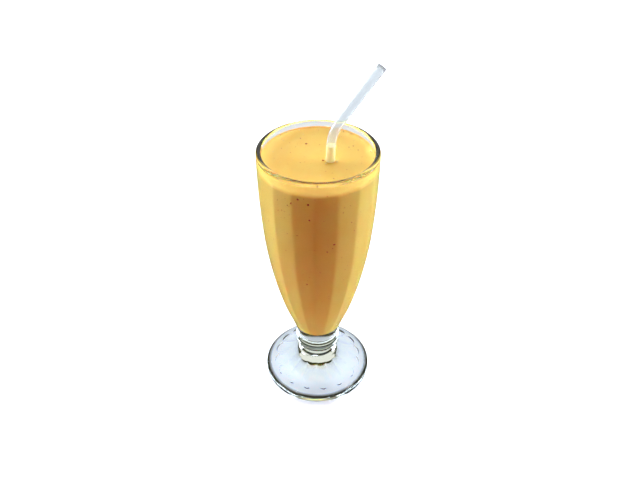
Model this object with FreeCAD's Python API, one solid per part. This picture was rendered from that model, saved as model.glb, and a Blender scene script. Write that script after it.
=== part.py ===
"""Mango lassi in a footed soda fountain glass, with a bent clear straw.

Millimetres, Z up. The glass stands on z = 0 with its axis on Z, and -Y is the front.
Three pieces: the pressed glass, the drink that fills it, and the hollow straw that stands in the drink.
"""

import FreeCAD, Part
import math
import os

from FreeCAD import Vector

# Glass: overall
glass_height = 205.0
rim_radius = 40.3
waist_radius = 14.6
waist_height = 40.0
foot_radius = 41.4

# Bowl: outside curve from the waist to the lip, as (share of the height, share of the widening)
bowl_curve = ((0.09, 0.18), (0.21, 0.44), (0.37, 0.685), (0.55, 0.87), (0.74, 0.965), (0.89, 0.998))

# Bowl: wall and floor
lip_wall = 3.6
lip_round = 1.7
base_wall = 8.0
bowl_floor = 7.5
floor_round = 4.0

# Flutes: flat upright panels pressed into the inside of the bowl, which run out under a plain band
flute_count = 16
flute_turn_deg = -2.6
flute_bite = 0.2
flute_plain_band = 7.0
flute_fade = 3.5

# Collar between the bowl and the foot
collar_swell = 2.4
collar_height = 10.0

# Foot: a low cone with a rounded edge, pressed petals on top and a shallow hollow below
neck_taper = 0.8
neck_length = 3.0
shoulder_share = 0.55
shoulder_height = 12.85
brim_inset = 5.4
brim_height = 8.0
edge_height = 4.0
tread_inset = 2.0
tread_width = 4.0
hollow_height = 3.0
petal_depth = 1.4
petal_dig_deg = 4.0
petal_from = 0.145
petal_to = 1.0
petal_overlap = 1.14

# Drink: its level, and how much higher it still stands inside the straw
drink_below_rim = 4.4
drink_up_straw = 12.0

# Straw: a lower run that leans, one soft bend above the rim, and an upper run
straw_diameter = 6.0
straw_wall = 0.3
straw_floor_gap = 1.8
straw_foot_x = 3.2
straw_foot_y = -3.6
straw_lean_deg = 2.2
straw_lean_heading_deg = -38.0
bend_above_drink = 12.4
bend_radius = 25.5
bend_deg = 36.0
bend_heading_deg = 18.0
upper_run = 42.0

UP = Vector(0, 0, 1)
drink_level = glass_height - drink_below_rim
floor_height = waist_height + bowl_floor
collar_radius = waist_radius + collar_swell
neck_radius = waist_radius - neck_taper
neck_height = waist_height - collar_height - neck_length
brim_radius = foot_radius - brim_inset
tread_radius = foot_radius - tread_inset
foot_spread = brim_radius - neck_radius
shoulder_radius = neck_radius + shoulder_share * foot_spread
petal_middle = neck_radius + (petal_from + petal_to) / 2 * foot_spread
petal_length = (petal_to - petal_from) * foot_spread
straw_foot_height = floor_height + straw_floor_gap
flute_step_deg = 360.0 / flute_count


def spline(points):
    """Smooth edge through (radius, height) points in the XZ plane."""
    curve = Part.BSplineCurve()
    curve.interpolate([Vector(radius, 0, height) for radius, height in points])
    return curve.toShape()


def lines(points):
    """Straight edges through (radius, height) points in the XZ plane."""
    spots = [Vector(radius, 0, height) for radius, height in points]
    return [Part.makeLine(start, end) for start, end in zip(spots, spots[1:])]


def arc(start, middle, end):
    """Arc edge through three (radius, height) points in the XZ plane."""
    spots = [Vector(radius, 0, height) for radius, height in (start, middle, end)]
    return Part.Arc(*spots).toShape()


def bend(start, corner, end):
    """Curved edge that leaves the start and meets the end along the lines to the corner."""
    curve = Part.BezierCurve()
    curve.setPoles([Vector(radius, 0, height) for radius, height in (start, corner, end)])
    return curve.toShape()


def turned(edges):
    """Solid of revolution about Z from the edges of a closed outline."""
    return Part.Face(Part.Wire(Part.sortEdges(edges)[0])).revolve(Vector(), UP, 360)


def bowl_outside():
    """(radius, height) points of the bowl's outside, from the waist to the rim."""
    stations = ((0.0, 0.0),) + bowl_curve + ((1.0, 1.0),)
    rise = glass_height - waist_height
    widening = rim_radius - waist_radius
    return [(waist_radius + share * widening, waist_height + part * rise) for part, share in stations]


def bowl_inside():
    """(radius, height) points of the bowl's inside, whose wall thickens downwards, from floor to rim."""
    points = []
    for radius, height in bowl_outside()[1:]:
        depth = (glass_height - height) / (glass_height - floor_height)
        points.append((radius - lip_wall - (base_wall - lip_wall) * depth ** 2, height))
    slope = (points[1][0] - points[0][0]) / (points[1][1] - points[0][1])
    floor_radius = points[0][0] - slope * (points[0][1] - floor_height)
    return [(floor_radius, floor_height)] + points


def round_cavity():
    """The inside of the bowl before its flutes."""
    inside = bowl_inside()
    floor_radius = inside[0][0]
    mouth_radius = inside[-1][0]
    wall = spline(inside)
    mouth = lines([(mouth_radius, glass_height), (0, glass_height)])
    floor = lines([(0, glass_height), (0, floor_height), (floor_radius, floor_height)])
    cavity = turned([wall] + mouth + floor)
    corner = [edge for edge in cavity.Edges if is_ring(edge, floor_radius, floor_height)]
    return cavity.makeFillet(floor_round, corner)


def is_ring(edge, radius, height):
    """True for a full circle of this radius about Z at this height."""
    box = edge.BoundBox
    return box.ZLength < 0.01 and abs(box.ZMin - height) < 0.01 and abs(box.XMax - radius) < 0.01


def flute_slab():
    """Slab between two opposite flutes, which leans out through the wall under the plain band."""
    flat = math.cos(math.pi / flute_count)
    fade_end = glass_height - flute_plain_band
    fade_start = fade_end - flute_fade
    inside = bowl_inside()
    mouth_radius = inside[-1][0]
    side = [(radius * flat - flute_bite, height) for radius, height in inside if height < fade_start]
    side.append((mouth_radius * flat - flute_bite, fade_start))
    low = (side[0][0], floor_height - 1)
    high = (mouth_radius + 1, glass_height + 1)
    right = lines([low, side[0]]) + [spline(side)]
    right += lines([side[-1], (mouth_radius, fade_end), (mouth_radius + 1, fade_end + 1), high])
    left = [edge.mirror(Vector(), Vector(1, 0, 0)) for edge in right]
    ends = lines([(-low[0], low[1]), low]) + lines([(-high[0], high[1]), high])
    face = Part.Face(Part.Wire(Part.sortEdges(right + left + ends)[0]))
    slab = face.extrude(Vector(0, 2 * rim_radius, 0))
    slab.translate(Vector(0, -rim_radius, 0))
    return slab


def fluted_cavity():
    """The inside of the bowl with its flat flutes, a ridge standing flute_turn_deg from the front."""
    cavity = round_cavity()
    slab = flute_slab()
    for number in range(flute_count // 2):
        across = slab.copy()
        across.rotate(Vector(), UP, -90 + flute_turn_deg + (number + 0.5) * flute_step_deg)
        cavity = cavity.common(across)
    return cavity


def blank():
    """Outside of the whole glass, as a solid: foot, collar and bowl."""
    collar_foot = waist_height - collar_height
    collar_middle = waist_height - collar_height / 2
    slope = foot_slope()
    neck_corner = (neck_radius, shoulder_height + slope * (shoulder_radius - neck_radius))
    brim_corner = (foot_radius, brim_height - slope * (foot_radius - brim_radius))
    hollow_radius = tread_radius - tread_width
    outline = [
        spline(bowl_outside()),
        arc((waist_radius, waist_height), (collar_radius, collar_middle), (neck_radius, collar_foot)),
        bend((neck_radius, neck_height), neck_corner, (shoulder_radius, shoulder_height)),
        bend((brim_radius, brim_height), brim_corner, (foot_radius, edge_height)),
        bend((foot_radius, edge_height), (foot_radius, 0), (tread_radius, 0)),
        bend((hollow_radius, 0), (hollow_radius / 2, hollow_height), (0, hollow_height)),
    ]
    outline += lines([(neck_radius, collar_foot), (neck_radius, neck_height)])
    outline += lines([(shoulder_radius, shoulder_height), (brim_radius, brim_height)])
    outline += lines([(tread_radius, 0), (hollow_radius, 0)])
    outline += lines([(0, hollow_height), (0, glass_height), (rim_radius, glass_height)])
    return turned(outline)


def foot_slope():
    """Fall of the foot's cone for each millimetre outwards."""
    return (shoulder_height - brim_height) / (brim_radius - shoulder_radius)


def foot_petals():
    """Almond dimples round the top of the foot, deepest outwards, in line with the flutes."""
    slope = foot_slope()
    height = shoulder_height - slope * (petal_middle - shoulder_radius)
    width = 2 * petal_middle * math.tan(math.radians(flute_step_deg / 2)) * petal_overlap
    size = FreeCAD.Matrix()
    size.scale(petal_length / 2, width / 2, petal_depth)
    petal = Part.makeSphere(1).transformGeometry(size)
    petal.rotate(Vector(), Vector(0, 1, 0), math.degrees(math.atan(slope)) + petal_dig_deg)
    petal.translate(Vector(petal_middle, 0, height))
    petals = []
    for number in range(flute_count):
        turned_petal = petal.copy()
        turned_petal.rotate(Vector(), UP, -90 + flute_turn_deg + (number + 0.5) * flute_step_deg)
        petals.append(turned_petal)
    return petals


def make_glass(cavity):
    """The pressed glass: foot, collar and bowl in one piece, with a rounded lip."""
    glass = blank().cut(foot_petals()).cut(cavity)
    mouth_radius = rim_radius - lip_wall
    lip = [edge for edge in glass.Edges if is_ring(edge, rim_radius, glass_height)]
    lip += [edge for edge in glass.Edges if is_ring(edge, mouth_radius, glass_height)]
    return glass.makeFillet(lip_round, lip)


def heading(tilt_deg, heading_deg):
    """Unit vector tilted from upright towards a compass heading in the XY plane."""
    tilt = math.radians(tilt_deg)
    turn = math.radians(heading_deg)
    return Vector(math.sin(tilt) * math.cos(turn), math.sin(tilt) * math.sin(turn), math.cos(tilt))


def on_lower_run(height):
    """Point at this height on the centre line of the straw's lower run."""
    along = heading(straw_lean_deg, straw_lean_heading_deg)
    foot = Vector(straw_foot_x, straw_foot_y, straw_foot_height)
    return foot + along * ((height - straw_foot_height) / along.z)


def straw_path():
    """Centre line of the straw: lower run, one arc, upper run."""
    foot = on_lower_run(straw_foot_height)
    bend_start = on_lower_run(drink_level + bend_above_drink)
    along = heading(straw_lean_deg, straw_lean_heading_deg)
    outward = heading(90, bend_heading_deg)
    inside = (outward - along * along.dot(outward)).normalize()

    def on_bend(angle):
        centre = bend_start + inside * bend_radius
        return centre + (along * math.sin(angle) - inside * math.cos(angle)) * bend_radius

    angle = math.radians(bend_deg)
    bend_end = on_bend(angle)
    tip = bend_end + (along * math.cos(angle) + inside * math.sin(angle)) * upper_run
    arc_edge = Part.Arc(bend_start, on_bend(angle / 2), bend_end).toShape()
    return Part.Wire([Part.makeLine(foot, bend_start), arc_edge, Part.makeLine(bend_end, tip)])


def rod(path, radius):
    """Solid round rod of this radius along the path."""
    start = path.Edges[0]
    section = Part.Wire(Part.makeCircle(radius, start.valueAt(0), start.tangentAt(0)))
    return path.makePipeShell([section], True, True)


def make_straw():
    """Thin clear tube, open at both ends."""
    path = straw_path()
    return rod(path, straw_diameter / 2).cut(rod(path, straw_diameter / 2 - straw_wall))


def make_drink(cavity, straw):
    """The drink: the cavity up to its level, round the straw's wall and up inside its lower run."""
    inside_straw = Part.makeLine(on_lower_run(straw_foot_height), on_lower_run(drink_level + drink_up_straw))
    column = rod(Part.Wire([inside_straw]), straw_diameter / 2 - straw_wall)
    above = Part.makeCylinder(rim_radius, glass_height, Vector(0, 0, drink_level))
    return cavity.cut(above).fuse(column).cut(straw)


def write(name, shape):
    """One solid to its STEP file, with its size printed."""
    box = shape.BoundBox
    print(f"{name}: {len(shape.Solids)} solid, {len(shape.Faces)} faces, {shape.Volume / 1000:.1f} cm3, "
          f"valid {shape.isValid()}, z {box.ZMin:.1f} to {box.ZMax:.1f}, x {box.XMin:.1f} to {box.XMax:.1f}")
    shape.exportStep(f"parts/{name}.step")


def main():
    os.makedirs("parts", exist_ok=True)
    cavity = fluted_cavity()
    straw = make_straw()
    write("glass", make_glass(cavity).Solids[0])
    write("straw", straw.Solids[0])
    write("lassi", make_drink(cavity, straw).Solids[0])


main()
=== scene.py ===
"""Dresses a mango lassi in its soda glass: pressed clear glass, thick drink, clear straw, specks and froth.

Metres, Z up, -Y is the front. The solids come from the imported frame, and each piece here stands for one
of them or lies on it. Radii are measured from the glass's axis, heights from the surface that it stands on.
"""

import math
import random

import bmesh
import bpy
from mathutils import Matrix, Vector
from mathutils.bvhtree import BVHTree


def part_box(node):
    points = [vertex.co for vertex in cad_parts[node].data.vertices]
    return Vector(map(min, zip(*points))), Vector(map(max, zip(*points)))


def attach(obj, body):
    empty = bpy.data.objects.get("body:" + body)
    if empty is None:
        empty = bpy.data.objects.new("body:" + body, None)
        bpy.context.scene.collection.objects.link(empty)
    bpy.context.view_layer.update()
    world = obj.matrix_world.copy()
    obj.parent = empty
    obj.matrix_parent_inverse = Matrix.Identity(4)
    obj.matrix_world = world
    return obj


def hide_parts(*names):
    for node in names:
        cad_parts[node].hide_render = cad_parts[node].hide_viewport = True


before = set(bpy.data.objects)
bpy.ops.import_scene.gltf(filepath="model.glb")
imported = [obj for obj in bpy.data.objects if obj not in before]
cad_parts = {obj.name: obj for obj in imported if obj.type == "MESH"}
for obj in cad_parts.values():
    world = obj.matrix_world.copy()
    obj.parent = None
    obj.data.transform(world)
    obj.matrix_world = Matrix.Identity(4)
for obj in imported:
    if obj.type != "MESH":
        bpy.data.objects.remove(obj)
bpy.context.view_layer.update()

MM = 0.001

# Glass, from the frame and from the sizes that its maker would give
glass_low, glass_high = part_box("glass")
GLASS_HEIGHT = glass_high.z
FOOT_RADIUS = glass_high.x
RIM_RADIUS = 40.3 * MM
LIP_WALL = 3.6 * MM
LIP_ROUND = 1.7 * MM
LIP_LOW = GLASS_HEIGHT - LIP_ROUND
OUTSIDE_BELOW_LIP = 1 * MM
INSIDE_BELOW_LIP = 0.4 * MM
WAIST_RADIUS = 14.6 * MM
WAIST_HEIGHT = 40 * MM
BASE_WALL = 8 * MM
FLOOR_ROUND = 4 * MM
FLOOR_CORNER_IN = 0.8 * MM
COLLAR_RADIUS = 17 * MM
COLLAR_HEIGHT = 10 * MM
COLLAR_STEP = 0.6 * MM
COLLAR_FULLNESS = 0.8
NECK_RADIUS = 13.8 * MM
NECK_HEIGHT = 27 * MM
SHOULDER = (26 * MM, 12.85 * MM)
BRIM = (36 * MM, 8 * MM)
EDGE_HEIGHT = 4 * MM
TREAD_RADIUS = 39.4 * MM
TREAD_WIDTH = 4 * MM
HOLLOW_HEIGHT = 3 * MM

# Bowl's outside from the waist to the rim, as (share of the height, share of the widening)
BOWL_CURVE = (
    (0, 0), (0.09, 0.18), (0.21, 0.44), (0.37, 0.685), (0.55, 0.87), (0.74, 0.965), (0.89, 0.998), (1, 1))

# Flutes and petals: as many of each, in line
FLUTE_COUNT = 16
FLUTE_TURN = math.radians(-90 - 2.6)
FLUTE_BITE = 0.2 * MM
FLUTE_ROUND = 0.22
FLUTE_PLAIN_BAND = 7 * MM
FLUTE_FADE = 3.5 * MM
FLUTE_PAST_WALL = 0.1 * MM
FADE_MARGIN = 0.5 * MM
PETAL_DEPTH = 2 * MM
PETAL_START = 17 * MM
PETAL_END = 34.5 * MM
PETAL_END_ROUND = 6 * MM
PETAL_END_POWER = 3.0
PETAL_FULLNESS = 0.6
PETAL_OVERLAP = 1.04
NEARLY_ONE = 1.0001

# Drink
lassi_low, lassi_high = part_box("lassi")
FLOOR_HEIGHT = lassi_low.z
DRINK_LEVEL = GLASS_HEIGHT - 4.4 * MM
INTO_WALL = 0.25 * MM
MENISCUS_RISE = 0.5 * MM
MENISCUS_REACH = 1.2 * MM
LEVEL_MARGIN = 0.001 * MM

# Painted light: the drink's emission, standing for light that comes through the glass into the drink: the
# heights or radii over which it comes in, how much
LASSI_GLOW = (0.95, 0.7, 0.19)
LIP_BAND = (DRINK_LEVEL - 8 * MM, DRINK_LEVEL - 4.5 * MM)
LIP_LIGHT = 0.45
EDGE_BAND = (22 * MM, 36 * MM)
EDGE_LIGHT = 0.12
COLUMN_LIGHT = 0.35

# IOR of the drink over that of the glass on it
DRINK_TO_GLASS_IOR = 1.34 / 1.54

# Straw
straw_low, straw_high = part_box("straw")
STRAW_RADIUS = 3 * MM
STRAW_WALL = 0.3 * MM
STRAW_FLOOR_GAP = 1.8 * MM
STRAW_FOOT = Vector((3.2 * MM, -3.6 * MM, FLOOR_HEIGHT + STRAW_FLOOR_GAP))
STRAW_LEAN = (math.radians(2.2), math.radians(-38))
BEND_ABOVE_DRINK = 12.4 * MM
BEND_RADIUS = 25.5 * MM
BEND_ANGLE = math.radians(36)
BEND_HEADING = math.radians(18)
UPPER_RUN = 42 * MM

# Drink inside the straw: how far it starts below the level, ends short of the solid's top, is in the wall
COLUMN_BELOW = 2 * MM
COLUMN_SHORT = 0.1 * MM
COLUMN_INTO_WALL = 0.05 * MM

# Specks that stand out, in millimetres: (x, y, half size) on the surface, and below it (degrees round from
# the front, height, half size)
SURFACE_SPECKS = (
    (3.2, -6.6, 1), (-8, 14, 0.8), (23, 11.5, 0.6), (26, 6.5, 0.5), (-18, 3, 0.4), (14, 23, 0.35),
    (18, -17, 0.35), (9, -21, 0.3), (-12, 21, 0.5), (-24, 8, 0.35), (-15, 10, 0.3), (28, -2, 0.35))
SIDE_SPECKS = (
    (-19, 191, 0.8), (-26, 187, 0.9), (-9, 188, 0.8), (-8, 176, 0.7), (17, 155, 0.9), (10, 149, 0.6),
    (-13, 117, 0.7), (16, 101, 0.4), (25, 180, 0.4), (-32, 161, 0.4), (3, 130, 0.4), (70, 150, 0.6),
    (110, 170, 0.7), (150, 120, 0.5), (190, 185, 0.7), (230, 140, 0.6), (280, 165, 0.6))

# Small specks and bubbles: half sizes in millimetres as (least, most above that)
SMALL_SPECKS = 420
SMALL_SPECK_SIZES = (0.14, 0.36)
FROTH_BUBBLES = 150
BUBBLE_SIZES = (0.18, 0.5)
SURFACE_SHARE = 0.97

# One small speck in six is on the surface. The others are below it, from the lowest share of the depth up,
# over a spread of it, and the power crowds them upwards
ON_SURFACE_ONE_IN = 6
SIDE_LOWEST = 0.06
SIDE_SPREAD = 0.92
SIDE_POWER = 0.7

# Of each eight bubbles one is at the straw, five are at the wall and two are anywhere; how many half sizes
# away from the straw or the wall they are, as (least, most)
BUBBLE_CYCLE = 8
FIRST_LOOSE_BUBBLE = 6
FROM_STRAW = (0.8, 2.5)
FROM_WALL = (1.0, 4.0)

# Points round each turned piece and each tube, and how near the axis or each other they become one
AROUND = 320
AROUND_TUBE = 48
ON_AXIS = 1e-7
SAME_POINT = 1e-6

# Colours of the stage, linear
PALE = (0.93, 0.935, 0.94)
THROUGH_GLASS = (0.76, 0.8, 0.88)
FRONT_FLOOR = (0.78, 0.02, 0.003)
WARM_ROOM = (0.16, 0.02, 0.005)
DARK_ROOM = (0.04, 0.038, 0.01)

# Floor: where the drink is lit from, and what glass shows of it
FLOOR_HALF = 4.0
FLOOR_DROP = 0.05 * MM
FLOOR_GLOW = 0.42
FLOOR_GLOW_COLOUR = (0.66, 0.85, 1.0)
SIDE_GLOW = 1.7
ASIDE_POWER = 7.0
UNDER_FOOT = (36 * MM, 3 * MM)
FLOOR_FADE = 2.5 * MM
STRIP_BEHIND = (70 * MM, 130 * MM)
STRIP_GLOW = 0.36
SWEEP = 0.36
SWEEP_WIDTH = 0.35
SWEEP_RISE = 9.0

# Light boxes: (name, place, size, watts, colour, whether it shows in gloss, whether it shows through glass)
LIGHT_BOXES = (
    ("left_box", (-1.0, 0.56, 0.33), (1.3, 0.6), 40, (0.94, 1.0, 1.15), False, True),
    ("right_box", (1.0, 0.53, 0.33), (1.3, 0.6), 41, (0.94, 1.0, 1.15), False, True),
    ("top_box", (0.0, 0.6, 1.35), (0.9, 0.9), 7, (1, 1, 0.9), False, False),
    ("back_box", (0, 1.25, 0.85), (1.4, 1.2), 5, (1.0, 0.97, 0.9), True, True),
)
LIGHT_TARGET = Vector((0, 0, 0.12))

# Camera
CAMERA_PLACE = (0.0015, -0.3723, 0.4303)
CAMERA_PITCH = math.radians(38.86)
CAMERA_ROLL = math.radians(0.36)
CAMERA_LENS = 37.9
CAMERA_SENSOR = 36


# ---------------------------------------------------------------- outlines

def blend(spots, shares):
    """Point mixed from (radius, height) points in these shares."""
    return tuple(sum(share * spot[axis] for share, spot in zip(shares, spots)) for axis in (0, 1))


def curve_through(points, steps):
    """Smooth line through (radius, height) points, with as many steps between each two."""
    line = []
    padded = [points[0]] + list(points) + [points[-1]]
    for before, start, end, after in zip(padded, padded[1:], padded[2:], padded[3:]):
        for number in range(steps):
            part = number / steps
            shares = (
                (-part ** 3 + 2 * part ** 2 - part) / 2,
                (3 * part ** 3 - 5 * part ** 2 + 2) / 2,
                (-3 * part ** 3 + 4 * part ** 2 + part) / 2,
                (part ** 3 - part ** 2) / 2,
            )
            line.append(blend((before, start, end, after), shares))
    return line + [points[-1]]


def straight(start, end, steps):
    """Evenly spaced (radius, height) points from start to end."""
    return [tuple(a + (b - a) * number / steps for a, b in zip(start, end)) for number in range(steps + 1)]


def bend(start, corner, end, steps):
    """Curved line that leaves the start and meets the end along the lines to the corner."""
    line = []
    for number in range(steps + 1):
        part = number / steps
        shares = ((1 - part) ** 2, 2 * part * (1 - part), part ** 2)
        line.append(blend((start, corner, end), shares))
    return line


def arc(centre, radius, start_deg, end_deg, steps):
    """Arc of (radius, height) points round a centre."""
    degrees = [start_deg + (end_deg - start_deg) * number / steps for number in range(steps + 1)]
    turns = [math.radians(turn) for turn in degrees]
    x, z = centre
    return [(x + radius * math.cos(turn), z + radius * math.sin(turn)) for turn in turns]


def bowl_outside():
    """(radius, height) stations of the bowl's outside, from the waist to the rim."""
    rise = GLASS_HEIGHT - WAIST_HEIGHT
    widening = RIM_RADIUS - WAIST_RADIUS
    return [(WAIST_RADIUS + share * widening, WAIST_HEIGHT + part * rise) for part, share in BOWL_CURVE]


def bowl_inside():
    """(radius, height) stations of the bowl's inside, whose wall thickens downwards, from floor to rim."""
    stations = []
    for radius, height in bowl_outside()[1:]:
        depth = (GLASS_HEIGHT - height) / (GLASS_HEIGHT - FLOOR_HEIGHT)
        stations.append((radius - LIP_WALL - (BASE_WALL - LIP_WALL) * depth ** 2, height))
    slope = (stations[1][0] - stations[0][0]) / (stations[1][1] - stations[0][1])
    floor_radius = stations[0][0] - slope * (stations[0][1] - FLOOR_HEIGHT)
    return [(floor_radius, FLOOR_HEIGHT)] + stations


def radius_at(line, height):
    """Radius of a rising line of (radius, height) points at this height."""
    for (r0, z0), (r1, z1) in zip(line, line[1:]):
        if z0 <= height <= z1:
            return r0 + (r1 - r0) * (height - z0) / (z1 - z0)
    return line[-1][0]


def inside_wall(top, outwards=0.0):
    """The cavity's line from the middle of its floor, round the corner and up the wall to this height."""
    wall = curve_through(bowl_inside(), steps=24)
    corner = FLOOR_HEIGHT + FLOOR_ROUND
    corner_radius = radius_at(wall, corner)
    flat_end = (corner_radius - FLOOR_ROUND, FLOOR_HEIGHT)
    pulled_to = (corner_radius - FLOOR_CORNER_IN, FLOOR_HEIGHT)
    line = straight((0, FLOOR_HEIGHT), flat_end, steps=6)[:-1]
    line += bend(flat_end, pulled_to, (corner_radius, corner), steps=8)
    fade_top = GLASS_HEIGHT - FLUTE_PLAIN_BAND
    fade_low = fade_top - FLUTE_FADE
    past_fade = fade_top + FADE_MARGIN
    for start, end, steps in ((corner, fade_low, 72), (fade_low, past_fade, 14), (past_fade, top, 4)):
        heights = [start + (end - start) * number / steps for number in range(1, steps + 1)]
        line += [(radius_at(wall, height), height) for height in heights]
    return [(radius + (outwards if radius > 0 else 0), height - (outwards if height < corner else 0))
            for radius, height in line]


# ---------------------------------------------------------------- meshes

def new_object(name, mesh):
    """Object with this mesh, in the scene, at the origin."""
    piece = bpy.data.objects.new(name, mesh)
    bpy.context.scene.collection.objects.link(piece)
    return piece


def lathe(name, sections):
    """Closed turned shape from stretches of outline, whose marks are 0 or 1 attributes of the points."""
    form = bmesh.new()
    layers = {mark: form.verts.layers.float.new(mark) for mark, _ in sections if mark}
    rings = []
    for mark, line in sections:
        for radius, height in line:
            count = AROUND if radius > ON_AXIS else 1
            turns = [2 * math.pi * number / AROUND for number in range(count)]
            spots = [(radius * math.cos(turn), radius * math.sin(turn), height) for turn in turns]
            ring = [form.verts.new(spot) for spot in spots]
            for vert in ring:
                if mark:
                    vert[layers[mark]] = 1.0
            rings.append(ring)
    for low, high in zip(rings, rings[1:]):
        for number in range(AROUND):
            after = (number + 1) % AROUND
            if len(low) == 1 and len(high) == 1:
                continue
            if len(low) == 1:
                form.faces.new((low[0], high[number], high[after]))
            elif len(high) == 1:
                form.faces.new((low[number], high[0], low[after]))
            else:
                form.faces.new((low[number], high[number], high[after], low[after]))
    bmesh.ops.remove_doubles(form, verts=form.verts, dist=SAME_POINT)
    bmesh.ops.recalc_face_normals(form, faces=form.faces)
    mesh = bpy.data.meshes.new(name)
    form.to_mesh(mesh)
    form.free()
    mesh.polygons.foreach_set("use_smooth", [True] * len(mesh.polygons))
    return new_object(name, mesh)


def foot_slope():
    """Fall of the foot's cone for each metre outwards."""
    return (SHOULDER[1] - BRIM[1]) / (BRIM[0] - SHOULDER[0])


def under_foot():
    """From the middle of the hollow under the foot, over the tread and round the edge to the brim."""
    hollow_radius = TREAD_RADIUS - TREAD_WIDTH
    edge = (FOOT_RADIUS, EDGE_HEIGHT)
    brim_corner = (FOOT_RADIUS, BRIM[1] - foot_slope() * (FOOT_RADIUS - BRIM[0]))
    line = bend((0, HOLLOW_HEIGHT), (hollow_radius / 2, HOLLOW_HEIGHT), (hollow_radius, 0), steps=16)
    line += straight((hollow_radius, 0), (TREAD_RADIUS, 0), steps=2)[1:]
    line += bend((TREAD_RADIUS, 0), (FOOT_RADIUS, 0), edge, steps=6)[1:]
    return line + bend(edge, brim_corner, BRIM, steps=8)[1:]


def foot_top():
    """From the brim up the foot's cone and round into its neck."""
    neck_corner = (NECK_RADIUS, SHOULDER[1] + foot_slope() * (SHOULDER[0] - NECK_RADIUS))
    line = straight(BRIM, SHOULDER, steps=46)[1:]
    return line + bend(SHOULDER, neck_corner, (NECK_RADIUS, NECK_HEIGHT), steps=24)[1:]


def collar():
    """The swelling between the neck and the bowl."""
    middle = WAIST_HEIGHT - COLLAR_HEIGHT / 2
    line = [(NECK_RADIUS, WAIST_HEIGHT - COLLAR_HEIGHT - COLLAR_STEP)]
    steps = 24
    for number in range(steps + 1):
        turn = math.radians(-90 + 180 * number / steps)
        start = NECK_RADIUS if turn < 0 else WAIST_RADIUS
        swell = (COLLAR_RADIUS - start) * math.cos(turn) ** COLLAR_FULLNESS
        line.append((start + swell, middle + COLLAR_HEIGHT / 2 * math.sin(turn)))
    return line


def bowl_and_lip():
    """The bowl's outside and the round of its lip."""
    outside = curve_through(bowl_outside(), steps=8)[1:]
    line = [point for point in outside if point[1] < LIP_LOW - OUTSIDE_BELOW_LIP]
    line += arc((RIM_RADIUS - LIP_ROUND, LIP_LOW), LIP_ROUND, 0, 90, steps=9)
    return line + arc((RIM_RADIUS - LIP_WALL + LIP_ROUND, LIP_LOW), LIP_ROUND, 90, 180, steps=9)


def glass_sections():
    """The glass's whole outline, from under its foot round the outside, over the lip and down inside."""
    inside = inside_wall(LIP_LOW - INSIDE_BELOW_LIP)[::-1]
    return [
        (None, under_foot()),
        ("foot_top", foot_top()),
        (None, collar()),
        (None, bowl_and_lip()),
        ("inside", inside),
    ]


def lassi_sections():
    """The drink's outline: its skin just inside the glass, then its surface from the edge to the middle."""
    skin = inside_wall(DRINK_LEVEL, INTO_WALL)
    surface = straight((skin[-1][0], DRINK_LEVEL), (0, DRINK_LEVEL), steps=60)
    return [("inside", skin), (None, surface)]


# ---------------------------------------------------------------- geometry nodes

class Tree:
    """A geometry node tree with named inputs, and short ways to add its maths."""

    def __init__(self, name):
        self.tree = bpy.data.node_groups.new(name, "GeometryNodeTree")
        self.tree.interface.new_socket("Geometry", in_out="INPUT", socket_type="NodeSocketGeometry")
        self.tree.interface.new_socket("Geometry", in_out="OUTPUT", socket_type="NodeSocketGeometry")
        self.inputs = self.tree.nodes.new("NodeGroupInput")
        self.outputs = self.tree.nodes.new("NodeGroupOutput")

    def input(self, name, kind="NodeSocketFloat"):
        """Named input of the tree, whose value each run gives."""
        self.tree.interface.new_socket(name, in_out="INPUT", socket_type=kind)
        return self.inputs.outputs[name]

    def node(self, kind, links=None, **settings):
        """Node of this kind, with settings on it and values or links on its inputs."""
        node = self.tree.nodes.new(kind)
        for key, value in settings.items():
            setattr(node, key, value)
        for key, value in (links or {}).items():
            self.feed(node.inputs[key], value)
        return node

    def feed(self, socket, value):
        """Sets a socket from a value or from another node's output."""
        if isinstance(value, bpy.types.NodeSocket):
            self.tree.links.new(value, socket)
        else:
            socket.default_value = value

    def math(self, operation, *values):
        """Output of one Math node."""
        node = self.tree.nodes.new("ShaderNodeMath")
        node.operation = operation
        for socket, value in zip(node.inputs, values):
            self.feed(socket, value)
        return node.outputs[0]

    def polar(self):
        """Radius, angle, and the x, y, z of each point."""
        place = self.node("GeometryNodeInputPosition").outputs[0]
        parts = self.node("ShaderNodeSeparateXYZ", {"Vector": place})
        x, y, z = parts.outputs
        squares = self.math("ADD", self.math("MULTIPLY", x, x), self.math("MULTIPLY", y, y))
        radius = self.math("MAXIMUM", self.math("SQRT", squares), SAME_POINT)
        return radius, self.math("ARCTAN2", y, x), x, y, z

    def marked(self, name, kind="FLOAT"):
        """The points' attribute of this name."""
        return self.node("GeometryNodeInputNamedAttribute", {"Name": name}, data_type=kind).outputs[0]

    def finish(self, geometry, material):
        """Ends the tree: instances made real, one material, out."""
        real = self.node("GeometryNodeRealizeInstances", {"Geometry": geometry})
        painted = self.node("GeometryNodeSetMaterial", {"Geometry": real.outputs[0], "Material": material})
        self.tree.links.new(painted.outputs[0], self.outputs.inputs[0])
        return self.tree


def run_tree(piece, tree, **values):
    """Runs a node tree on a piece with these input values, and keeps the result as its plain mesh."""
    modifier = piece.modifiers.new(tree.name, "NODES")
    modifier.node_group = tree
    for item in tree.interface.items_tree:
        if item.item_type == "SOCKET" and item.in_out == "INPUT" and item.name in values:
            modifier[item.identifier] = values[item.name]
    bpy.context.view_layer.update()
    evaluated = piece.evaluated_get(bpy.context.evaluated_depsgraph_get())
    mesh = bpy.data.meshes.new_from_object(evaluated)
    piece.modifiers.remove(modifier)
    old = piece.data
    piece.data = mesh
    bpy.data.meshes.remove(old)
    mesh.name = piece.name
    mesh.polygons.foreach_set("use_smooth", [True] * len(mesh.polygons))


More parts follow.
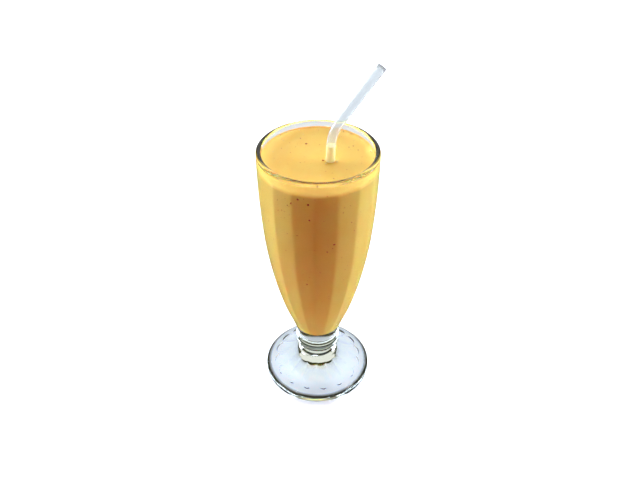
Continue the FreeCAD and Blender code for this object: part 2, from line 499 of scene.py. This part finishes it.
def flute_tree():
    """Presses upright flutes with rounded ridges into the points marked inside."""
    tree = Tree("press_flutes")
    count = tree.input("Count")
    turn = tree.input("Turn")
    bite = tree.input("Bite")
    rounding = tree.input("Ridge Rounding")
    band = tree.input("Plain Above")
    fade = tree.input("Fade")
    material = tree.input("Material", "NodeSocketMaterial")
    radius, angle, x, y, z = tree.polar()
    half = tree.math("DIVIDE", math.pi, count)
    step = tree.math("MULTIPLY", half, 2.0)
    phase = tree.math("FLOORED_MODULO", tree.math("SUBTRACT", angle, turn), step)
    off_middle = tree.math("ABSOLUTE", tree.math("SUBTRACT", phase, half))
    ridge = tree.math("MULTIPLY", half, rounding)
    into_ridge = tree.math("SUBTRACT", off_middle, tree.math("SUBTRACT", half, ridge))
    into_ridge = tree.math("MAXIMUM", into_ridge, 0.0)
    eased = tree.math("MULTIPLY", into_ridge, into_ridge)
    eased = tree.math("DIVIDE", eased, tree.math("MULTIPLY", ridge, 2.0))
    lean = tree.math("SUBTRACT", off_middle, eased)
    flat = tree.math("SUBTRACT", tree.math("MULTIPLY", radius, tree.math("COSINE", half)), bite)
    start = tree.math("SUBTRACT", band, fade)
    rise = tree.math("DIVIDE", tree.math("SUBTRACT", z, start), fade)
    rise = tree.math("MINIMUM", tree.math("MAXIMUM", rise, 0.0), 1.0)
    clear = tree.math("ADD", tree.math("SUBTRACT", radius, flat), FLUTE_PAST_WALL)
    wall = tree.math("ADD", flat, tree.math("MULTIPLY", clear, rise))
    pressed = tree.math("MINIMUM", tree.math("DIVIDE", wall, tree.math("COSINE", lean)), radius)
    scale = tree.math("SUBTRACT", tree.math("DIVIDE", pressed, radius), 1.0)
    scale = tree.math("ADD", tree.math("MULTIPLY", scale, tree.marked("inside")), 1.0)
    place = tree.node("ShaderNodeCombineXYZ", {
        "X": tree.math("MULTIPLY", x, scale), "Y": tree.math("MULTIPLY", y, scale), "Z": z})
    moved = tree.node("GeometryNodeSetPosition", {
        "Geometry": tree.inputs.outputs["Geometry"], "Position": place.outputs[0]})
    return tree.finish(moved.outputs[0], material)


def petal_tree():
    """Presses a ring of petals, round and steep at their outer ends, into the points marked foot_top."""
    tree = Tree("press_petals")
    count = tree.input("Count")
    turn = tree.input("Turn")
    depth = tree.input("Depth")
    start = tree.input("Start Radius")
    end = tree.input("End Radius")
    end_round = tree.input("End Round")
    material = tree.input("Material", "NodeSocketMaterial")
    radius, angle, x, y, z = tree.polar()
    half = tree.math("DIVIDE", math.pi, count)
    step = tree.math("MULTIPLY", half, 2.0)
    phase = tree.math("FLOORED_MODULO", tree.math("SUBTRACT", angle, turn), step)
    across = tree.math("MULTIPLY", tree.math("SUBTRACT", phase, half), radius)
    past_end = tree.math("SUBTRACT", radius, tree.math("SUBTRACT", end, end_round))
    past_end = tree.math("DIVIDE", tree.math("MAXIMUM", past_end, 0.0), end_round)
    past_end = tree.math("MINIMUM", past_end, 1.0)
    narrowing = tree.math("SUBTRACT", NEARLY_ONE, tree.math("POWER", past_end, PETAL_END_POWER))
    narrowing = tree.math("SQRT", narrowing)
    width = tree.math("MULTIPLY", tree.math("MULTIPLY", radius, tree.math("TANGENT", half)), PETAL_OVERLAP)
    width = tree.math("MULTIPLY", width, narrowing)
    side = tree.math("DIVIDE", across, width)
    scoop = tree.math("MAXIMUM", tree.math("SUBTRACT", 1.0, tree.math("MULTIPLY", side, side)), 0.0)
    scoop = tree.math("POWER", scoop, PETAL_FULLNESS)
    along = tree.math("DIVIDE", tree.math("SUBTRACT", radius, start),
                      tree.math("SUBTRACT", tree.math("SUBTRACT", end, end_round), start))
    along = tree.math("MINIMUM", tree.math("MAXIMUM", along, 0.0), 1.0)
    press = tree.math("MULTIPLY", tree.math("MULTIPLY", scoop, along), depth)
    press = tree.math("MULTIPLY", press, tree.marked("foot_top"))
    place = tree.node("ShaderNodeCombineXYZ", {"X": x, "Y": y, "Z": tree.math("SUBTRACT", z, press)})
    moved = tree.node("GeometryNodeSetPosition", {
        "Geometry": tree.inputs.outputs["Geometry"], "Position": place.outputs[0]})
    return tree.finish(moved.outputs[0], material)


def tube_tree():
    """Draws a round tube along a line of points; Filled closes its ends."""
    tree = Tree("draw_tube")
    radius = tree.input("Radius")
    sides = tree.input("Sides", "NodeSocketInt")
    filled = tree.input("Filled", "NodeSocketBool")
    material = tree.input("Material", "NodeSocketMaterial")
    path = tree.node("GeometryNodeMeshToCurve", {"Mesh": tree.inputs.outputs["Geometry"]})
    section = tree.node("GeometryNodeCurvePrimitiveCircle", {"Resolution": sides, "Radius": radius})
    tube = tree.node("GeometryNodeCurveToMesh", {
        "Curve": path.outputs[0], "Profile Curve": section.outputs[0], "Fill Caps": filled})
    return tree.finish(tube.outputs[0], material)


def bead_tree():
    """Sets a small flattened bead at each point, sized and turned by its size and facing attributes."""
    tree = Tree("set_beads")
    flatness = tree.input("Flatness")
    narrowest = tree.input("Narrowest")
    material = tree.input("Material", "NodeSocketMaterial")
    points = tree.node("GeometryNodeMeshToPoints", {"Mesh": tree.inputs.outputs["Geometry"]})
    bead = tree.node("GeometryNodeMeshUVSphere", {"Radius": 1.0, "Segments": 9, "Rings": 5})
    facing = tree.marked("facing", "FLOAT_VECTOR")
    upright = tree.node("FunctionNodeAlignRotationToVector", {"Vector": facing}, axis="Z").outputs[0]
    spin = tree.node("FunctionNodeRandomValue", {3: 2 * math.pi, "Seed": 3}, data_type="FLOAT").outputs[1]
    spin = tree.node("FunctionNodeAxisAngleToRotation", {"Axis": (0, 0, 1), "Angle": spin}).outputs[0]
    turns = {0: upright, 1: spin}
    turned = tree.node("FunctionNodeRotateRotation", turns, rotation_space="LOCAL").outputs[0]
    size = tree.marked("size")
    widths = {2: narrowest, 3: 1.0, "Seed": 5}
    narrow = tree.node("FunctionNodeRandomValue", widths, data_type="FLOAT").outputs[1]
    scale = tree.node("ShaderNodeCombineXYZ", {
        "X": size, "Y": tree.math("MULTIPLY", size, narrow), "Z": tree.math("MULTIPLY", size, flatness)})
    beads = tree.node("GeometryNodeInstanceOnPoints", {
        "Points": points.outputs[0], "Instance": bead.outputs["Mesh"],
        "Rotation": turned, "Scale": scale.outputs[0]})
    return tree.finish(beads.outputs[0], material)


# ---------------------------------------------------------------- shader helpers

class ShaderMaths:
    """Short ways to add maths and mixed colours to a shader's nodes."""

    def __init__(self, tree):
        self.nodes, self.links = tree.nodes, tree.links

    def feed(self, socket, value):
        """Sets a socket from a number, a colour or another node's output."""
        if isinstance(value, bpy.types.NodeSocket):
            self.links.new(value, socket)
        else:
            socket.default_value = (*value, 1) if isinstance(value, tuple) else value

    def math(self, operation, *values, clamped=False):
        """Output of one Math node, kept between 0 and 1 if clamped."""
        node = self.nodes.new("ShaderNodeMath")
        node.operation = operation
        node.use_clamp = clamped
        for socket, value in zip(node.inputs, values):
            self.feed(socket, value)
        return node.outputs[0]

    def mix(self, factor, first, second):
        """Colour that goes from the first to the second as the factor goes from 0 to 1."""
        node = self.nodes.new("ShaderNodeMix")
        node.data_type = "RGBA"
        for label, value in (("Factor", factor), ("A", first), ("B", second)):
            self.feed(node.inputs[label], value)
        return node.outputs["Result"]


def set_inputs(node, values):
    """Sets inputs of a node by their names."""
    for label, value in values.items():
        node.inputs[label].default_value = value


# ---------------------------------------------------------------- materials

def shader_group(name, inputs, outputs):
    """Empty shader node group with named number inputs and outputs."""
    group = bpy.data.node_groups.new(name, "ShaderNodeTree")
    for labels, way in ((inputs, "INPUT"), (outputs, "OUTPUT")):
        for label in labels:
            group.interface.new_socket(label, in_out=way, socket_type="NodeSocketFloat")
    return group, group.nodes.new("NodeGroupInput"), group.nodes.new("NodeGroupOutput")


def mottle_group():
    """Two sizes of soft blotches on Object coordinates, as a mask from 0 to 1."""
    group, source, result = shader_group("soft_mottle", ["Size", "Grain", "Grain Share"], ["Mask"])
    nodes, links = group.nodes, group.links
    place = nodes.new("ShaderNodeTexCoord")
    broad = nodes.new("ShaderNodeTexNoise")
    fine = nodes.new("ShaderNodeTexNoise")
    mix = nodes.new("ShaderNodeMix")
    broad.inputs["Detail"].default_value = 3.0
    fine.inputs["Detail"].default_value = 2.0
    links.new(place.outputs["Object"], broad.inputs["Vector"])
    links.new(place.outputs["Object"], fine.inputs["Vector"])
    links.new(source.outputs["Size"], broad.inputs["Scale"])
    links.new(source.outputs["Grain"], fine.inputs["Scale"])
    links.new(source.outputs["Grain Share"], mix.inputs["Factor"])
    links.new(broad.outputs["Fac"], mix.inputs["A"])
    links.new(fine.outputs["Fac"], mix.inputs["B"])
    links.new(mix.outputs["Result"], result.inputs["Mask"])
    return group


def new_material(name):
    """Material with one Principled shader; returns the material, its nodes, links and that shader."""
    material = bpy.data.materials.new(name)
    material.use_nodes = True
    nodes, links = material.node_tree.nodes, material.node_tree.links
    return material, nodes, links, nodes["Principled BSDF"]


def add_mottle(nodes, size, grain, share):
    """The shared mottle in a material, with its own sizes; returns its mask output."""
    node = nodes.new("ShaderNodeGroup")
    node.node_tree = MOTTLE
    set_inputs(node, {"Size": size, "Grain": grain, "Grain Share": share})
    return node.outputs["Mask"]


def add_ramp(nodes, links, mask, stops):
    """Colour ramp over a mask, from two stops of (position, colour)."""
    ramp = nodes.new("ShaderNodeValToRGB")
    for element, (position, colour) in zip(ramp.color_ramp.elements, stops):
        element.position, element.color = position, (*colour, 1)
    links.new(mask, ramp.inputs["Fac"])
    return ramp.outputs["Color"]


def add_bump(nodes, links, mask, shader, distance, strength):
    """Bump from a mask into the shader's normal."""
    bump = nodes.new("ShaderNodeBump")
    set_inputs(bump, {"Distance": distance, "Strength": strength})
    links.new(mask, bump.inputs["Height"])
    links.new(bump.outputs["Normal"], shader.inputs["Normal"])


def add_glow(nodes, links, measure, band, strength, shader):
    """Painted light on the drink: a glow that comes in as a measure goes over this band."""
    share = nodes.new("ShaderNodeMapRange")
    set_inputs(share, {"From Min": band[0], "From Max": band[1]})
    links.new(measure, share.inputs["Value"])
    colour = add_ramp(nodes, links, share.outputs["Result"], [(0.0, (0, 0, 0)), (1.0, LASSI_GLOW)])
    links.new(colour, shader.inputs["Emission Color"])
    set_inputs(shader, {"Emission Strength": strength})


def pressed_glass():
    """Clear soda glass with the faint unevenness of a pressed mould and a green tint in its thickness."""
    material, nodes, links, shader = new_material("pressed_glass")
    set_inputs(shader, {
        "Base Color": (1, 1, 1, 1), "Transmission Weight": 1.0, "Roughness": 0.0, "IOR": 1.52})
    mask = add_mottle(nodes, size=90.0, grain=260.0, share=0.3)
    add_bump(nodes, links, mask, shader, distance=0.0004, strength=0.12)
    tint = nodes.new("ShaderNodeVolumeAbsorption")
    set_inputs(tint, {"Color": (0.72, 0.86, 0.82, 1), "Density": 12.0})
    links.new(tint.outputs["Volume"], nodes["Material Output"].inputs["Volume"])
    return material


def thick_lassi(name, low, high):
    """Mango and yoghurt: opaque golden yellow, soft under the surface, finely mottled.

    Returns the material with its nodes, links, shader and mottle, for what each kind of surface adds.
    """
    material, nodes, links, shader = new_material(name)
    mask = add_mottle(nodes, size=55.0, grain=1400.0, share=0.35)
    links.new(add_ramp(nodes, links, mask, [(0.3, low), (0.7, high)]), shader.inputs["Base Color"])
    set_inputs(shader, {
        "Subsurface Weight": 0.6, "Subsurface Radius": (0.003, 0.0012, 0.0006), "Subsurface Scale": 1.0,
        "IOR": 1.36})
    return material, nodes, links, shader, mask


def lassi_at_glass():
    """The drink's side, which turns light away along the wall, as glass on something thinner does."""
    # Lighter and yellower than the surface's colours: painted light for the side seen through the glass
    low, high = (0.91, 0.71, 0.19), (0.93, 0.76, 0.23)
    material, nodes, links, shader, _ = thick_lassi("lassi_at_glass", low, high)
    set_inputs(shader, {
        "Specular IOR Level": 0.0, "Roughness": 0.04, "Specular Tint": (0.45, 0.45, 0.2, 1)})
    wall = nodes.new("ShaderNodeFresnel")
    set_inputs(wall, {"IOR": DRINK_TO_GLASS_IOR})
    links.new(wall.outputs["Fac"], shader.inputs["Metallic"])
    # Painted light: a glowing band just under the level, for light that comes down through the glass's lip
    place = nodes.new("ShaderNodeTexCoord")
    apart = nodes.new("ShaderNodeSeparateXYZ")
    links.new(place.outputs["Object"], apart.inputs["Vector"])
    add_glow(nodes, links, apart.outputs["Z"], LIP_BAND, LIP_LIGHT, shader)
    return material


def lassi_in_air(name, low, high):
    """The drink's soft sheen where air is over it; returns what thick_lassi does but the mottle."""
    material, nodes, links, shader, mask = thick_lassi(name, low, high)
    set_inputs(shader, {"Specular IOR Level": 0.3, "Roughness": 0.35})
    add_bump(nodes, links, mask, shader, distance=0.0004, strength=0.15)
    return material, nodes, links, shader


def lassi_surface():
    """The drink's surface, with painted light: a glow that makes it a little lighter near its edge."""
    material, nodes, links, shader = lassi_in_air("thick_lassi", (0.85, 0.57, 0.12), (0.88, 0.66, 0.16))
    place = nodes.new("ShaderNodeTexCoord")
    level = nodes.new("ShaderNodeVectorMath")
    level.operation = "MULTIPLY"
    level.inputs[1].default_value = (1, 1, 0)
    reach = nodes.new("ShaderNodeVectorMath")
    reach.operation = "LENGTH"
    links.new(place.outputs["Object"], level.inputs[0])
    links.new(level.outputs["Vector"], reach.inputs[0])
    add_glow(nodes, links, reach.outputs["Value"], EDGE_BAND, EDGE_LIGHT, shader)
    return material


def lassi_in_straw():
    """The drink inside the straw, with painted light: a paler copy of the drink's colours and a glow, for
    how bright it shows through the straw's wall.
    """
    material, _, _, shader = lassi_in_air("lassi_in_straw", (0.95, 0.82, 0.36), (0.96, 0.86, 0.42))
    set_inputs(shader, {"Emission Color": (*LASSI_GLOW, 1), "Emission Strength": COLUMN_LIGHT})
    return material


def clear_straw():
    """Thin cloudy plastic, a little blue, with a faint painted glow."""
    material, nodes, links, shader = new_material("clear_straw")
    mask = add_mottle(nodes, size=300.0, grain=2200.0, share=0.4)
    colour = add_ramp(nodes, links, mask, [(0.2, (0.81, 0.86, 0.86)), (0.8, (0.87, 0.9, 0.88))])
    links.new(colour, shader.inputs["Base Color"])
    # The faint bluish emission is painted light that keeps the straw pale
    set_inputs(shader, {
        "Transmission Weight": 0.92, "Roughness": 0.12, "IOR": 1.3,
        "Emission Color": (0.8, 0.9, 1.0, 1), "Emission Strength": 0.08})
    add_bump(nodes, links, mask, shader, distance=0.0001, strength=0.2)
    return material


def by_bead(name, stops, roughness):
    """Material whose colour goes from bead to bead over a ramp."""
    material, nodes, links, shader = new_material(name)
    each = nodes.new("ShaderNodeNewGeometry")
    links.new(add_ramp(nodes, links, each.outputs["Random Per Island"], stops), shader.inputs["Base Color"])
    set_inputs(shader, {"Roughness": roughness})
    return material


# ---------------------------------------------------------------- pieces

def line_mesh(name, points):
    """Open line of points as a mesh of edges."""
    mesh = bpy.data.meshes.new(name)
    mesh.from_pydata(points, [(number, number + 1) for number in range(len(points) - 1)], [])
    return new_object(name, mesh)


def heading(tilt, turn):
    """Unit vector tilted from upright towards a heading."""
    return Vector((math.sin(tilt) * math.cos(turn), math.sin(tilt) * math.sin(turn), math.cos(tilt)))


def on_lower_run(height):
    """Point of the straw's lower run at this height."""
    along = heading(*STRAW_LEAN)
    return STRAW_FOOT + along * ((height - STRAW_FOOT.z) / along.z)


def straw_line():
    """Centre line of the straw: lower run, one arc, upper run."""
    lower_steps, bend_steps, upper_steps = 30, 24, 12
    along = heading(*STRAW_LEAN)
    outward = heading(math.pi / 2, BEND_HEADING)
    inward = (outward - along * along.dot(outward)).normalized()
    start = on_lower_run(DRINK_LEVEL + BEND_ABOVE_DRINK)
    centre = start + inward * BEND_RADIUS
    points = [STRAW_FOOT.lerp(start, number / lower_steps) for number in range(lower_steps)]
    for number in range(bend_steps + 1):
        turn = BEND_ANGLE * number / bend_steps
        points.append(centre + (along * math.sin(turn) - inward * math.cos(turn)) * BEND_RADIUS)
    upward = along * math.cos(BEND_ANGLE) + inward * math.sin(BEND_ANGLE)
    end = points[-1]
    points += [end + upward * UPPER_RUN * number / upper_steps for number in range(1, upper_steps + 1)]
    return points


def make_glass():
    """The pressed glass: turned, then fluted inside and petalled on the foot."""
    glass = lathe("pressed_soda_glass", glass_sections())
    run_tree(glass, PRESS_FLUTES, Material=GLASS, **FLUTES)
    run_tree(glass, petal_tree(), **{
        "Count": float(FLUTE_COUNT), "Turn": FLUTE_TURN, "Depth": PETAL_DEPTH, "Start Radius": PETAL_START,
        "End Radius": PETAL_END, "End Round": PETAL_END_ROUND, "Material": GLASS})
    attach(glass, "root")
    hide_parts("glass")


def make_lassi():
    """The drink, whose skin lies just in the glass so that no air shows between them."""
    lassi = lathe("lassi_body", lassi_sections())
    run_tree(lassi, PRESS_FLUTES, Material=LASSI_AT_GLASS, **FLUTES)
    lassi.data.materials.append(LASSI)
    for vert in lassi.data.vertices:
        if vert.co.z > DRINK_LEVEL - LEVEL_MARGIN:
            vert.co.z = surface_height(vert.co.x, vert.co.y)
    for face in lassi.data.polygons:
        if face.center.z > DRINK_LEVEL:
            face.material_index = 1
    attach(lassi, "root")
    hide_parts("lassi")
    return lassi


def surface_height(x, y):
    """Height of the drink's surface, which climbs a little at its edge and at the straw."""
    from_wall = SURFACE_RADIUS - math.hypot(x, y)
    middle = on_lower_run(DRINK_LEVEL)
    from_straw = math.hypot(x - middle.x, y - middle.y) - STRAW_RADIUS
    climbs = [math.exp(-max(away, 0) / MENISCUS_REACH) for away in (from_wall, from_straw)]
    return DRINK_LEVEL + sum(MENISCUS_RISE * climb for climb in climbs)


def bead_mesh(name, beads):
    """Loose points with a size and a facing each, from (place, facing, size) beads."""
    mesh = bpy.data.meshes.new(name)
    mesh.from_pydata([place for place, _, _ in beads], [], [])
    sizes = mesh.attributes.new("size", "FLOAT", "POINT")
    facings = mesh.attributes.new("facing", "FLOAT_VECTOR", "POINT")
    for number, (_, facing, size) in enumerate(beads):
        sizes.data[number].value = size
        facings.data[number].vector = facing
    return new_object(name, mesh)


def on_skin(skin, turn_deg, height):
    """Place and outward normal on the drink's side, this many degrees round from the front."""
    turn = math.radians(turn_deg - 90)
    out = Vector((math.cos(turn), math.sin(turn), 0))
    place, normal, _, _ = skin.ray_cast(Vector((0, 0, height)), out)
    return place, (normal if normal.dot(out) > 0 else -normal)


def on_surface(x, y):
    """Place and upward normal on the drink's surface."""
    return Vector((x, y, surface_height(x, y))), Vector((0, 0, 1))


def bead_size(chance, least, more):
    """Half size of a bead by chance, far more often near the least."""
    return (least + more * chance.random() ** 3) * MM


def make_specks(lassi):
    """Reddish-brown specks of spice and fruit: a few large ones at set places, many small ones anywhere."""
    chance = random.Random(11)
    skin = BVHTree.FromObject(lassi, bpy.context.evaluated_depsgraph_get())
    beads = [(*on_surface(x * MM, y * MM), size * MM) for x, y, size in SURFACE_SPECKS]
    beads += [(*on_skin(skin, turn, height * MM), size * MM) for turn, height, size in SIDE_SPECKS]
    for number in range(SMALL_SPECKS):
        size = bead_size(chance, *SMALL_SPECK_SIZES)
        if number % ON_SURFACE_ONE_IN == 0:
            radius = SURFACE_RADIUS * SURFACE_SHARE * math.sqrt(chance.random())
            turn = chance.uniform(0, 2 * math.pi)
            beads.append((*on_surface(radius * math.cos(turn), radius * math.sin(turn)), size))
        else:
            share = SIDE_LOWEST + SIDE_SPREAD * chance.random() ** SIDE_POWER
            height = FLOOR_HEIGHT + (DRINK_LEVEL - FLOOR_HEIGHT) * share
            beads.append((*on_skin(skin, chance.uniform(-180, 180), height), size))
    specks = bead_mesh("specks", beads)
    run_tree(specks, SET_BEADS, Flatness=0.4, Narrowest=0.45, Material=SPECK)
    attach(specks, "root")


def make_froth():
    """Small bubbles on the drink: of each eight, one at the straw, five at the wall and two anywhere."""
    chance = random.Random(23)
    middle = on_lower_run(DRINK_LEVEL)
    beads = []
    for number in range(FROTH_BUBBLES):
        size = bead_size(chance, *BUBBLE_SIZES)
        turn = chance.uniform(0, 2 * math.pi)
        x, y = 0, 0
        kind = number % BUBBLE_CYCLE
        if kind == 0:
            radius = STRAW_RADIUS + size * chance.uniform(*FROM_STRAW)
            x, y = middle.x, middle.y
        elif kind < FIRST_LOOSE_BUBBLE:
            radius = SURFACE_RADIUS - size * chance.uniform(*FROM_WALL)
        else:
            radius = SURFACE_RADIUS * SURFACE_SHARE * math.sqrt(chance.random())
        beads.append((*on_surface(x + radius * math.cos(turn), y + radius * math.sin(turn)), size))
    froth = bead_mesh("froth", beads)
    run_tree(froth, SET_BEADS, Flatness=0.7, Narrowest=0.95, Material=FROTH)
    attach(froth, "root")


def make_straw():
    """The clear straw and the drink that still stands in its lower run."""
    tube = tube_tree()
    straw = line_mesh("clear_straw", straw_line())
    run_tree(straw, tube, Radius=STRAW_RADIUS, Sides=AROUND_TUBE, Filled=False, Material=STRAW)
    wall = straw.modifiers.new("wall", "SOLIDIFY")
    wall.thickness = STRAW_WALL
    wall.offset = -1
    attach(straw, "root")
    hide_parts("straw")
    low = on_lower_run(DRINK_LEVEL - COLUMN_BELOW)
    high = on_lower_run(lassi_high.z - COLUMN_SHORT)
    steps = 12
    column = line_mesh("lassi_in_straw", [low.lerp(high, number / steps) for number in range(steps + 1)])
    radius = STRAW_RADIUS - STRAW_WALL + COLUMN_INTO_WALL
    run_tree(column, tube, Radius=radius, Sides=AROUND_TUBE, Filled=True, Material=LASSI_IN_STRAW)
    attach(column, "root")


# ---------------------------------------------------------------- stage

def beside_and_behind(add, x, y, reach):
    """Mask of the floor that lights the drink white: full behind it, and coming in towards both sides."""
    aside = add.math("POWER", add.math("DIVIDE", add.math("ABSOLUTE", x), reach), ASIDE_POWER)
    return add.math("MAXIMUM", aside, add.math("GREATER_THAN", y, 0.0))


def shown_through_glass(add, path, x, y):
    """Mask of the floor that glass shows pale: a disc under the foot, and a strip and a wedge behind it.

    Elsewhere glass shows it dark, which draws the glass's edges. The disc and the strip leave out light
    that was mirrored on its way, and the wedge leaves out light that was mirrored twice.
    """
    aside = add.math("ABSOLUTE", x)
    from_middle = add.math("ADD", y, -UNDER_FOOT[1])
    squares = add.math("ADD", add.math("MULTIPLY", x, x), add.math("MULTIPLY", from_middle, from_middle))
    past_disc = add.math("SUBTRACT", add.math("SQRT", squares), UNDER_FOOT[0])
    disc = add.math("SUBTRACT", 1.0, add.math("DIVIDE", past_disc, FLOOR_FADE), clamped=True)
    strip = add.math("GREATER_THAN", y, STRIP_BEHIND[0])
    strip = add.math("MULTIPLY", strip, add.math("LESS_THAN", aside, STRIP_BEHIND[1]))
    near = add.math("MAXIMUM", disc, add.math("MULTIPLY", strip, STRIP_GLOW))
    through, mirrored = path["Is Transmission Ray"], path["Glossy Depth"]
    near = add.math("MULTIPLY", near, add.math("SUBTRACT", through, mirrored, clamped=True))
    wedge = add.math("SUBTRACT", add.math("MULTIPLY", y, SWEEP_WIDTH), aside, clamped=True)
    wedge = add.math("MINIMUM", add.math("MULTIPLY", wedge, SWEEP_RISE), SWEEP)
    few_turns = add.math("MULTIPLY", add.math("LESS_THAN", mirrored, 1.5), through)
    return add.math("MAXIMUM", near, add.math("MULTIPLY", wedge, few_turns))


def make_floor():
    """Large pale floor that glows a little, like a light table.

    It is pale wherever the camera looks straight at it. What it throws on the drink is white from the sides
    and from behind, and red from the front.
    """
    material, nodes, links, shader = new_material("pale_floor")
    add = ShaderMaths(material.node_tree)
    path = nodes.new("ShaderNodeLightPath").outputs
    place = nodes.new("ShaderNodeTexCoord").outputs["Object"]
    apart = nodes.new("ShaderNodeSeparateXYZ")
    reach = nodes.new("ShaderNodeVectorMath")
    reach.operation = "LENGTH"
    links.new(place, apart.inputs["Vector"])
    links.new(place, reach.inputs[0])
    x, y = apart.outputs["X"], apart.outputs["Y"]
    lit = beside_and_behind(add, x, y, reach.outputs["Value"])
    through = shown_through_glass(add, path, x, y)
    straight_at = path["Is Camera Ray"]
    for_drink = add.math("MINIMUM", path["Diffuse Depth"], 1.0)
    seen = add.mix(straight_at, add.mix(through, DARK_ROOM, THROUGH_GLASS), PALE)
    links.new(add.mix(for_drink, seen, add.mix(lit, FRONT_FLOOR, PALE)), shader.inputs["Base Color"])
    glow = add.math("MULTIPLY", add.math("MAXIMUM", through, straight_at), FLOOR_GLOW)
    glow = add.math("MULTIPLY", glow, add.math("SUBTRACT", 1.0, for_drink))
    side_glow = add.math("MULTIPLY", add.math("MULTIPLY", lit, for_drink), SIDE_GLOW)
    links.new(add.math("ADD", glow, side_glow, clamped=True), shader.inputs["Emission Strength"])
    set_inputs(shader, {"Roughness": 0.9, "Emission Color": (*FLOOR_GLOW_COLOUR, 1)})
    mesh = bpy.data.meshes.new("floor")
    sides = [(-1, -1), (1, -1), (1, 1), (-1, 1)]
    corners = [(across * FLOOR_HALF, along * FLOOR_HALF, -FLOOR_DROP) for across, along in sides]
    mesh.from_pydata(corners, [], [(0, 1, 2, 3)])
    mesh.materials.append(material)
    new_object("floor", mesh)


def make_lights():
    """Soft boxes at both sides and behind, which the camera doesn't see."""
    for name, place, size, watts, colour, in_gloss, through_glass in LIGHT_BOXES:
        data = bpy.data.lights.new(name, "AREA")
        data.shape = "RECTANGLE"
        data.size, data.size_y = size
        data.energy = watts
        data.color = colour
        lamp = bpy.data.objects.new(name, data)
        lamp.location = place
        lamp.rotation_euler = (LIGHT_TARGET - Vector(place)).to_track_quat("-Z", "Y").to_euler()
        lamp.visible_camera = False
        lamp.visible_glossy = in_gloss
        lamp.visible_transmission = through_glass
        bpy.context.scene.collection.objects.link(lamp)


def make_world():
    """Pale where the camera looks straight at it, dim and warm for the drink, dark in gloss and glass."""
    world = bpy.data.worlds.new("room")
    world.use_nodes = True
    add = ShaderMaths(world.node_tree)
    path = add.nodes.new("ShaderNodeLightPath").outputs
    room = add.mix(path["Diffuse Depth"], DARK_ROOM, WARM_ROOM)
    add.feed(add.nodes["Background"].inputs["Color"], add.mix(path["Is Camera Ray"], room, PALE))
    bpy.context.scene.world = world


def make_camera():
    """Camera in front of and above the glass, a little turned about its own line of sight."""
    data = bpy.data.cameras.new("camera")
    data.sensor_width = CAMERA_SENSOR
    data.lens = CAMERA_LENS
    camera = bpy.data.objects.new("camera", data)
    turn = Matrix.Rotation(math.pi / 2 - CAMERA_PITCH, 4, "X") @ Matrix.Rotation(CAMERA_ROLL, 4, "Z")
    camera.matrix_world = Matrix.Translation(CAMERA_PLACE) @ turn
    bpy.context.scene.collection.objects.link(camera)
    bpy.context.scene.camera = camera


# ---------------------------------------------------------------- the whole

MOTTLE = mottle_group()
GLASS = pressed_glass()
LASSI = lassi_surface()
LASSI_AT_GLASS = lassi_at_glass()
LASSI_IN_STRAW = lassi_in_straw()
SPECK = by_bead("specks", [(0.0, (0.4, 0.08, 0.02)), (1.0, (0.65, 0.26, 0.05))], 0.6)
FROTH = by_bead("froth", [(0.0, (0.86, 0.6, 0.18)), (1.0, (0.95, 0.8, 0.4))], 0.15)
STRAW = clear_straw()

PRESS_FLUTES = flute_tree()
SET_BEADS = bead_tree()
FLUTES = {
    "Count": float(FLUTE_COUNT), "Turn": FLUTE_TURN, "Bite": FLUTE_BITE, "Ridge Rounding": FLUTE_ROUND,
    "Plain Above": GLASS_HEIGHT - FLUTE_PLAIN_BAND, "Fade": FLUTE_FADE}
SURFACE_RADIUS = inside_wall(DRINK_LEVEL)[-1][0]

make_glass()
lassi = make_lassi()
make_specks(lassi)
make_froth()
make_straw()
make_floor()
make_lights()
make_world()
make_camera()

bpy.context.scene.view_settings.view_transform = "Standard"
